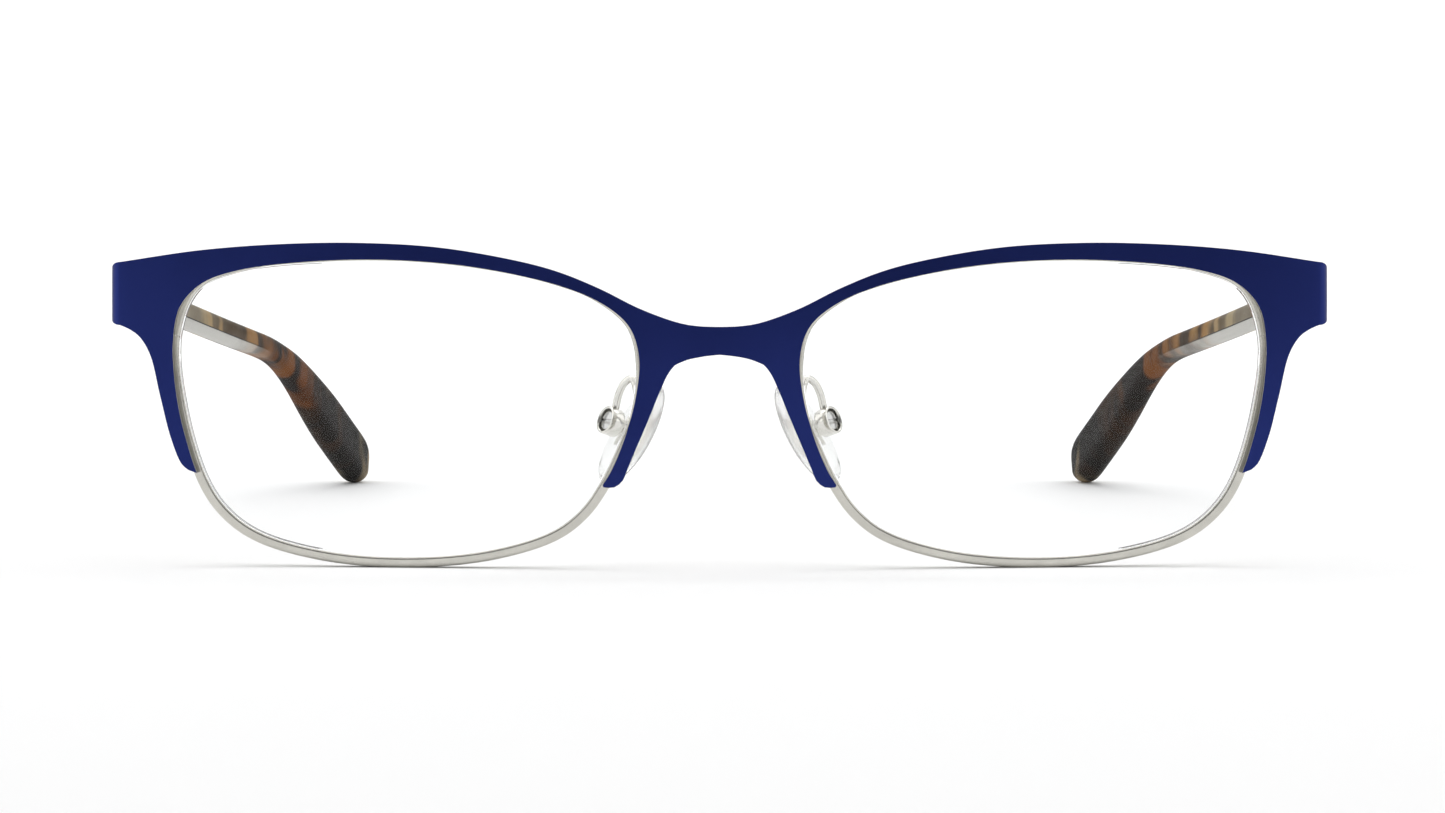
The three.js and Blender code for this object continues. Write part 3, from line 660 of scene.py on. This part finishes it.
def nose_pad_shape():
    """A soft oval cushion of silicone, flatter on its faces than at its edge and narrower on top."""
    steps = 22
    profile = [(0, 0)]
    for k in range(1, steps):
        angle = math.pi * k / steps
        radius = math.sin(angle) ** PAD_FULLNESS
        depth = 0.5 - 0.5 * math.cos(angle)
        profile.append((radius, -depth * PAD_THICKNESS))
    profile.append((0, -PAD_THICKNESS))
    verts, faces = turned_mesh(profile, 64)
    lean = Matrix.Rotation(-PAD_TILT, 4, "Y")
    points = []
    for x, across, along in verts:
        spread = 1 - PAD_NARROWING * along
        shape = Vector((x, across * spread * PAD_WIDTH / 2, along * PAD_LENGTH / 2 - PAD_DROP))
        points.append(pad_frame(lean @ shape - Vector((PAD_AWAY, 0, 0))))
    return points, faces


ARM_POINTS = [
    (9.3, 3.3, -0.5), (9.3, 4.0, 0.2), (9.32, 5.0, 2.2), (9.8, 5.9, 3.25),
    (10.65, 6.5, 2.75), (11.3, 6.85, 1.5), (11.6, 7.0, 0.3), (11.7, 7.1, -0.15),
]


def pad_arm_shape():
    curve = Curve(ARM_POINTS)
    spans, sides = 60, 20
    rings = []
    side = np.array((1.0, 0.0, 0.0))
    for i in range(spans + 1):
        share = i / spans
        middle, heading = curve.along(share), curve.heading(share)
        side = side - heading * side.dot(heading)
        side /= np.linalg.norm(side)
        up = np.cross(heading, side)
        radius = ARM_RADIUS * (0.9 + 0.1 * smoothstep(share, 0, 0.02))  # softened where it starts
        angles = np.arange(sides) * 2 * math.pi / sides
        rings.append([middle + radius * (side * math.cos(a) + up * math.sin(a)) for a in angles])
    return rings_mesh(rings)


BOX_RADIUS = 1.6
BOX_WALL = 0.3
BOX_FLOOR = 0.4
BOX_DEPTH = 1.7
BOX_BORE = 1.0
BOX_LIP = 0.12


def pad_box_shape():
    """The cup that holds the pad's boss, with rolled lips."""
    low, high = -BOX_DEPTH / 2, BOX_DEPTH / 2
    inner = BOX_RADIUS - BOX_WALL
    floor = low + BOX_FLOOR
    outline = [
        (BOX_BORE, low + 0.05), (BOX_BORE + 0.05, low), (BOX_RADIUS - BOX_LIP, low),
        (BOX_RADIUS - 0.03, low + 0.04), (BOX_RADIUS, low + BOX_LIP), (BOX_RADIUS, high - BOX_LIP),
        (BOX_RADIUS - 0.04, high - 0.04), (BOX_RADIUS - BOX_LIP, high), (inner + 0.08, high),
        (inner, high - 0.08), (inner, floor + 0.05), (inner - 0.05, floor), (BOX_BORE + 0.05, floor),
        (BOX_BORE, floor - 0.05),
    ]
    segments = 48
    rings = []
    for k in range(segments):
        angle = 2 * math.pi * k / segments
        rings.append([pad_frame((x, r * math.cos(angle), r * math.sin(angle))) for r, x in outline])
    verts, faces = rings_mesh(rings + [rings[0]], closed_ends=False)
    count = segments * len(outline)
    return verts[:count], [tuple(v % count for v in f) for f in faces]


# ---------------------------------------------------------------- materials

class Nodes:
    """A new material with short ways to add and join its nodes."""

    def __init__(self, name):
        self.material = bpy.data.materials.new(name)
        self.material.use_nodes = True
        self.tree = self.material.node_tree
        self.shader = self.tree.nodes["Principled BSDF"]

    def add(self, kind, **values):
        node = self.tree.nodes.new(kind)
        for key, value in values.items():
            if hasattr(node, key):
                setattr(node, key, value)
            else:
                node.inputs[key.replace("_", " ")].default_value = value
        return node

    def link(self, output, target):
        self.tree.links.new(output, target)

    def set(self, **values):
        for key, value in values.items():
            self.shader.inputs[key.replace("_", " ")].default_value = value

    def place(self, stretch=(1, 1, 1)):
        """The piece's own coordinates, in millimetres, stretched."""
        where = self.add("ShaderNodeTexCoord")
        scale = self.add("ShaderNodeMapping")
        scale.inputs["Scale"].default_value = [1000 * s for s in stretch]
        self.link(where.outputs["Object"], scale.inputs["Vector"])
        return scale.outputs["Vector"]

    def noise(self, where, scale, detail=3.0, rough=0.5, distortion=0.0):
        node = self.add("ShaderNodeTexNoise")
        for key, value in (("Scale", scale), ("Detail", detail), ("Roughness", rough),
                           ("Distortion", distortion)):
            node.inputs[key].default_value = value
        self.link(where, node.inputs["Vector"])
        return node.outputs["Fac"]

    def ramp(self, factor, stops, ease="LINEAR"):
        node = self.add("ShaderNodeValToRGB")
        node.color_ramp.interpolation = ease
        band = node.color_ramp.elements
        while len(band) < len(stops):
            band.new(1)
        for element, (place, colour) in zip(band, stops):
            element.position = place
            element.color = (*colour, 1)
        self.link(factor, node.inputs["Fac"])
        return node.outputs["Color"]

    def spread(self, factor, low, high, to="Roughness", inside=(0.3, 0.7)):
        """Feeds a shader input with a value that wanders between low and high."""
        node = self.add("ShaderNodeMapRange")
        for key, value in (("From Min", inside[0]), ("From Max", inside[1]),
                           ("To Min", low), ("To Max", high)):
            node.inputs[key].default_value = value
        self.link(factor, node.inputs["Value"])
        self.link(node.outputs["Result"], self.shader.inputs[to])

    def bump(self, factor, distance, strength=1.0):
        node = self.add("ShaderNodeBump")
        node.inputs["Distance"].default_value = distance * MM
        node.inputs["Strength"].default_value = strength
        self.link(factor, node.inputs["Height"])
        self.link(node.outputs["Normal"], self.shader.inputs["Normal"])

    def blend(self, factor, first, second):
        node = self.add("ShaderNodeMix", data_type="RGBA")
        self.link(factor, node.inputs["Factor"])
        for socket, value in ((node.inputs[6], first), (node.inputs[7], second)):
            if isinstance(value, tuple):
                socket.default_value = (*value, 1)
            else:
                self.link(value, socket)
        return node.outputs[2]


def satin_paint():
    """Indigo lacquer over metal: deep, faintly metallic, with a fine grain."""
    n = Nodes("indigo_satin_paint")
    broad = n.noise(n.place((1, 1, 1)), 0.05, 2)
    colour = n.ramp(broad, [(0.3, (0.013, 0.022, 0.125)), (0.7, (0.018, 0.03, 0.165))])
    n.link(colour, n.shader.inputs["Base Color"])
    n.set(Metallic=0.9, Specular_IOR_Level=0.3)
    fine = n.noise(n.place((1, 1, 1)), 3.5, 4, 0.6)
    n.spread(fine, 0.36, 0.46)
    n.bump(fine, 0.012, 0.5)
    return n.material


def silver_metal(name, colour, low, high, grain=(1, 1, 1)):
    """Plated wire or sheet: bright, slightly warm, with a drawn grain and soft smudges."""
    n = Nodes(name)
    smudge = n.noise(n.place(), 0.35, 4, 0.6)
    dull = tuple(c * 0.9 for c in colour)
    n.link(n.ramp(smudge, [(0.35, dull), (0.65, colour)]), n.shader.inputs["Base Color"])
    n.set(Metallic=1.0)
    drawn = n.noise(n.place(grain), 6.0, 3, 0.6)
    n.spread(drawn, low, high)
    n.bump(drawn, 0.006, 0.4)
    return n.material


def clear_lens():
    n = Nodes("clear_lens")
    n.set(Base_Color=(0.99, 0.997, 1.0, 1), Transmission_Weight=1.0, IOR=1.16)
    film = n.noise(n.place(), 0.06, 2)
    n.spread(film, 0.0, 0.012)
    return n.material


def clear_silicone():
    n = Nodes("clear_silicone")
    cloud = n.noise(n.place(), 0.4, 3)
    n.link(n.ramp(cloud, [(0.3, (0.93, 0.94, 0.93)), (0.7, (0.98, 0.98, 0.975))]),
           n.shader.inputs["Base Color"])
    n.set(Transmission_Weight=0.92, IOR=1.41)
    n.spread(cloud, 0.1, 0.2)
    n.bump(n.noise(n.place(), 2.2, 3), 0.01, 0.4)
    return n.material


def along_temple(n, ragged):
    """Distance back along the temple as 0 to 1, with an edge that wanders by so much."""
    where = n.add("ShaderNodeTexCoord")
    split = n.add("ShaderNodeSeparateXYZ")
    n.link(where.outputs["Object"], split.inputs["Vector"])
    blotch = n.noise(n.place((1, 0.75, 1)), 0.13, 3, 0.5, 0.8)
    far = n.add("ShaderNodeMapRange")
    for key, value in (("From Min", PATTERN_FROM * MM), ("From Max", PATTERN_TO * MM)):
        far.inputs[key].default_value = value
    n.link(split.outputs["Y"], far.inputs["Value"])
    wander = n.add("ShaderNodeMath", operation="MULTIPLY_ADD")
    n.link(blotch, wander.inputs[0])
    wander.inputs[1].default_value = ragged
    wander.inputs[2].default_value = -ragged / 2
    along = n.add("ShaderNodeMath", operation="ADD")
    n.link(far.outputs["Result"], along.inputs[0])
    n.link(wander.outputs["Value"], along.inputs[1])
    return along.outputs["Value"]


def tortoise(name, edge=None):
    """Havana acetate, rubbed matt: a smoky taupe by the hinge that is a painted sheen of glancing light,
    streaks of amber and brown over the bend, near black in the drop with an ember or two, and a honey
    patch at the tip. An edge colour is painted on the temple's lower inner edge from the hinge to the
    bend:
    a pale one is a painted reflection there, and a dark one a painted crease shadow along its top."""
    n = Nodes(name)
    streak = n.noise(n.place((1, 1, 0.6)), 0.15, 1, 0.5, 0.5)
    along = along_temple(n, 0.26)
    # Both ramps start at the same pale grey-taupe by the hinge: a painted sheen of glancing light, fading
    # back along the temple.
    dark = n.ramp(along, [
        (0.0, (0.25, 0.235, 0.2)), (0.14, (0.2, 0.17, 0.125)), (0.24, (0.12, 0.09, 0.055)),
        (0.4, (0.05, 0.03, 0.015)), (0.56, (0.014, 0.009, 0.007)), (0.9, (0.009, 0.008, 0.007)),
    ])
    light = n.ramp(along, [
        (0.0, (0.27, 0.25, 0.21)), (0.16, (0.34, 0.28, 0.17)), (0.36, (0.3, 0.17, 0.06)),
        (0.52, (0.16, 0.058, 0.013)), (0.66, (0.12, 0.04, 0.01)), (0.76, (0.03, 0.015, 0.008)),
        (0.9, (0.02, 0.013, 0.009)), (1.0, (0.26, 0.2, 0.12)),
    ])
    mask = n.ramp(streak, [(0.43, (0, 0, 0)), (0.63, (1, 1, 1))], "EASE")
    colour = n.blend(mask, dark, light)
    # The edge colour is painted on the lower inner edge and fades out by the bend. Pale, it is a painted
    # reflection; dark, a painted crease shadow.
    if edge:
        painted_edge_fade = n.ramp(along, [(0.3, (0, 0, 0)), (0.55, (1, 1, 1))], "EASE")
        colour = n.blend(painted_edge_fade, edge, colour)
    n.link(colour, n.shader.inputs["Base Color"])
    n.set(Specular_IOR_Level=0.1, IOR=1.16)
    rub = n.noise(n.place((1, 0.15, 1)), 1.6, 4, 0.6)
    n.spread(rub, 0.38, 0.5)
    n.bump(n.noise(n.place(), 5.0, 3, 0.6), 0.008, 0.5)
    return n.material


paint = satin_paint()
bare_back = silver_metal("bare_sheet_back", (0.68, 0.67, 0.64), 0.28, 0.4, (1, 1, 0.2))
rim_silver = silver_metal("rim_silver", (0.62, 0.605, 0.555), 0.17, 0.28)
fitting_silver = silver_metal("fitting_silver", (0.78, 0.765, 0.72), 0.12, 0.22)
hinge_silver = silver_metal("hinge_silver", (0.62, 0.61, 0.58), 0.25, 0.36)
screw_steel = silver_metal("screw_steel", (0.6, 0.6, 0.59), 0.12, 0.22)
lens_clear = clear_lens()
silicone = clear_silicone()
acetate = [
    tortoise("tortoise"),
    # A pale lower inner edge: a painted grazing reflection of the floor on the polished chamfer.
    tortoise("tortoise_painted_edge_reflection", (0.54, 0.53, 0.5)),
    # A dark line along the top of that edge: a painted crease shadow.
    tortoise("tortoise_painted_crease_shadow", (0.045, 0.042, 0.04)),
]


# ---------------------------------------------------------------- pieces

def dress(node, material, edge=0.0):
    """A carried-over CAD node keeps its shape and gets its finish and, if asked, softened edges."""
    cad = frame["nodes"][node]
    cad.data.materials.clear()
    cad.data.materials.append(material)
    cad.data.shade_smooth()
    cad.data.set_sharp_from_angle(angle=math.radians(35))
    if edge:
        bevel(cad, edge)


# Screw heads: radius, height, how far the top is domed, and width of the slot.
PAD_SCREW_HEAD = (1.1, 0.62, 0.16, 0.3)
HINGE_SCREW_HEAD = (1.1, 0.5, 0.12, 0.32)
PAD_SCREW_SEAT = 0.08  # the head's underside from the middle of the pad's cup


def pad_screw_place(v):
    return pad_frame((v[2] + PAD_SCREW_SEAT, v[0], v[1]))


def hinge_screw_place(v):
    return hinge_frame((v[0], v[1], v[2] + HINGE_HEIGHT / 2 + GAP))


def build_front():
    verts, faces, kinds = front_plate_shape()
    plate = add_piece(
        "painted_front", (verts, faces), "front", [paint, bare_back],
        ["front_plate"], pick=lambda i: 1 if kinds[i] in ("back", "bare") else 0,
    )
    bevel(plate, 0.18, 3)


def build_side(name, side):
    front, pads, temple = "front", f"pad_{name}", f"temple_{name}"
    add_piece(f"rim_wire_{name}", eyewire_shape(), front, [rim_silver],
              [f"eyewire_{name}"], side, 30)
    glass = add_piece(f"clear_lens_{name}", lens_shape(), front, [lens_clear],
                      [f"lens_{name}"], side, 30)
    glass.visible_shadow = False
    add_piece(f"crook_arm_{name}", pad_arm_shape(), front, [fitting_silver],
              [f"pad_arm_{name}"], side)
    add_piece(f"pad_cup_{name}", pad_box_shape(), front, [fitting_silver],
              [f"pad_box_{name}"], side)
    pad = add_piece(f"silicone_pad_{name}", nose_pad_shape(), pads, [silicone],
                    [f"nose_pad_{name}"], side)
    pad.visible_shadow = False
    add_piece(f"tortoise_temple_{name}", temple_shape(), temple,
              acetate, [f"temple_{name}"], side, 50, pick=temple_edge_kind)
    add_piece(f"pad_screw_head_{name}", moved(slotted_head(*PAD_SCREW_HEAD), pad_screw_place),
              pads, [screw_steel], [f"pad_screw_{name}"], side)
    add_piece(f"hinge_screw_head_{name}", moved(slotted_head(*HINGE_SCREW_HEAD), hinge_screw_place),
              front, [screw_steel], [f"hinge_screw_{name}"], side)
    for node, material, edge in (
        ("rim_lock_upper", hinge_silver, 0.12), ("rim_lock_lower", hinge_silver, 0.12),
        ("rim_lock_screw", screw_steel, 0.04), ("pad_mount", fitting_silver, 0.05),
        ("hinge_front", hinge_silver, 0.1), ("hinge_temple", hinge_silver, 0.12),
        ("temple_core_wire", rim_silver, 0),
    ):
        dress(f"{node}_{name}", material, edge)


build_front()
for side_name, side_sign in SIDES.items():
    build_side(side_name, side_sign)


# ---------------------------------------------------------------- studio

CAMERA_DISTANCE = 450 * MM  # from the front of the glasses
CAMERA_HEIGHT = 24 * MM  # above the lens level
CAMERA_ASIDE = 0.33 * MM
CAMERA_TILT = math.radians(3)
SENSOR = 36.0
FRAME_WIDTH = 1445
PIXELS_PER_MM = 9.06  # at the front of the glasses, which sets the lens
WORLD_STRENGTH = 0.22

# Lights: name, place and aim in metres, width and height in metres, watts.
LIGHTS = [
    ("overhead", (0, 0.2, 1.4), (0, 0.2, 0), (2.6, 2.4), 19),
    ("sweep", (0, 0.5, 1.3), (0, 1.4, 0.3), (2.4, 0.6), 8),
    ("panel_left", (0.9, -0.1, 0.4), (0, 0, 0.02), (1.2, 0.8), 3.4),
    ("panel_right", (-0.9, -0.1, 0.4), (0, 0, 0.02), (1.2, 0.8), 3.4),
]


def build_camera():
    data = bpy.data.cameras.new("camera")
    data.sensor_width = SENSOR
    data.lens = PIXELS_PER_MM * CAMERA_DISTANCE / MM * SENSOR / FRAME_WIDTH
    data.clip_start = 0.01
    camera = bpy.data.objects.new("camera", data)
    camera.location = LENS_LEVEL + Vector((CAMERA_ASIDE, -CAMERA_DISTANCE, CAMERA_HEIGHT))
    camera.rotation_euler = Euler((math.pi / 2 - CAMERA_TILT, 0, 0))
    bpy.context.scene.collection.objects.link(camera)
    bpy.context.scene.camera = camera


def build_floor():
    """A pale sweep: flat under the glasses, curving up behind them."""
    width, front, flat, radius, height = 3.0, -1.6, 0.9, 0.5, 2.0
    rows = [(front, 0.0), (flat, 0.0)]
    rows += [
        (flat + radius * math.sin(a), radius * (1 - math.cos(a)))
        for a in np.linspace(0, math.pi / 2, 25)[1:]
    ]
    rows.append((flat + radius, height))
    verts = [(x, y, z) for y, z in rows for x in (-width, width)]
    faces = [(2 * i, 2 * i + 1, 2 * i + 3, 2 * i + 2) for i in range(len(rows) - 1)]
    mesh = bpy.data.meshes.new("floor")
    mesh.from_pydata(verts, [], faces)
    mesh.shade_smooth()
    n = Nodes("pale_floor")
    soft = n.noise(n.place(), 0.004, 2)
    n.link(n.ramp(soft, [(0, (0.93, 0.93, 0.93)), (1, (0.95, 0.95, 0.95))]),
           n.shader.inputs["Base Color"])
    n.set(Roughness=0.9, Specular_IOR_Level=0.1)
    mesh.materials.append(n.material)
    floor = bpy.data.objects.new("floor", mesh)
    bpy.context.scene.collection.objects.link(floor)
    floor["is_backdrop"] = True


def build_light(name, place, aim, size, power):
    data = bpy.data.lights.new(name, "AREA")
    data.shape = "RECTANGLE"
    data.size, data.size_y = size
    data.energy = power
    light = bpy.data.objects.new(name, data)
    light.location = place
    light.rotation_euler = (Vector(aim) - Vector(place)).to_track_quat("-Z", "Y").to_euler()
    bpy.context.scene.collection.objects.link(light)


def build_world():
    world = bpy.data.worlds.new("studio")
    world.use_nodes = True
    background = world.node_tree.nodes["Background"]
    background.inputs["Color"].default_value = (1, 1, 1, 1)
    background.inputs["Strength"].default_value = WORLD_STRENGTH
    bpy.context.scene.world = world


build_camera()
build_floor()
build_world()
for light in LIGHTS:
    build_light(*light)
bpy.context.scene.view_settings.view_transform = "Standard"

corner_lists = lambda box: [list(corner) for corner in box]
{"cad": corner_lists(cad_box), "visual": corner_lists(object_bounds())}
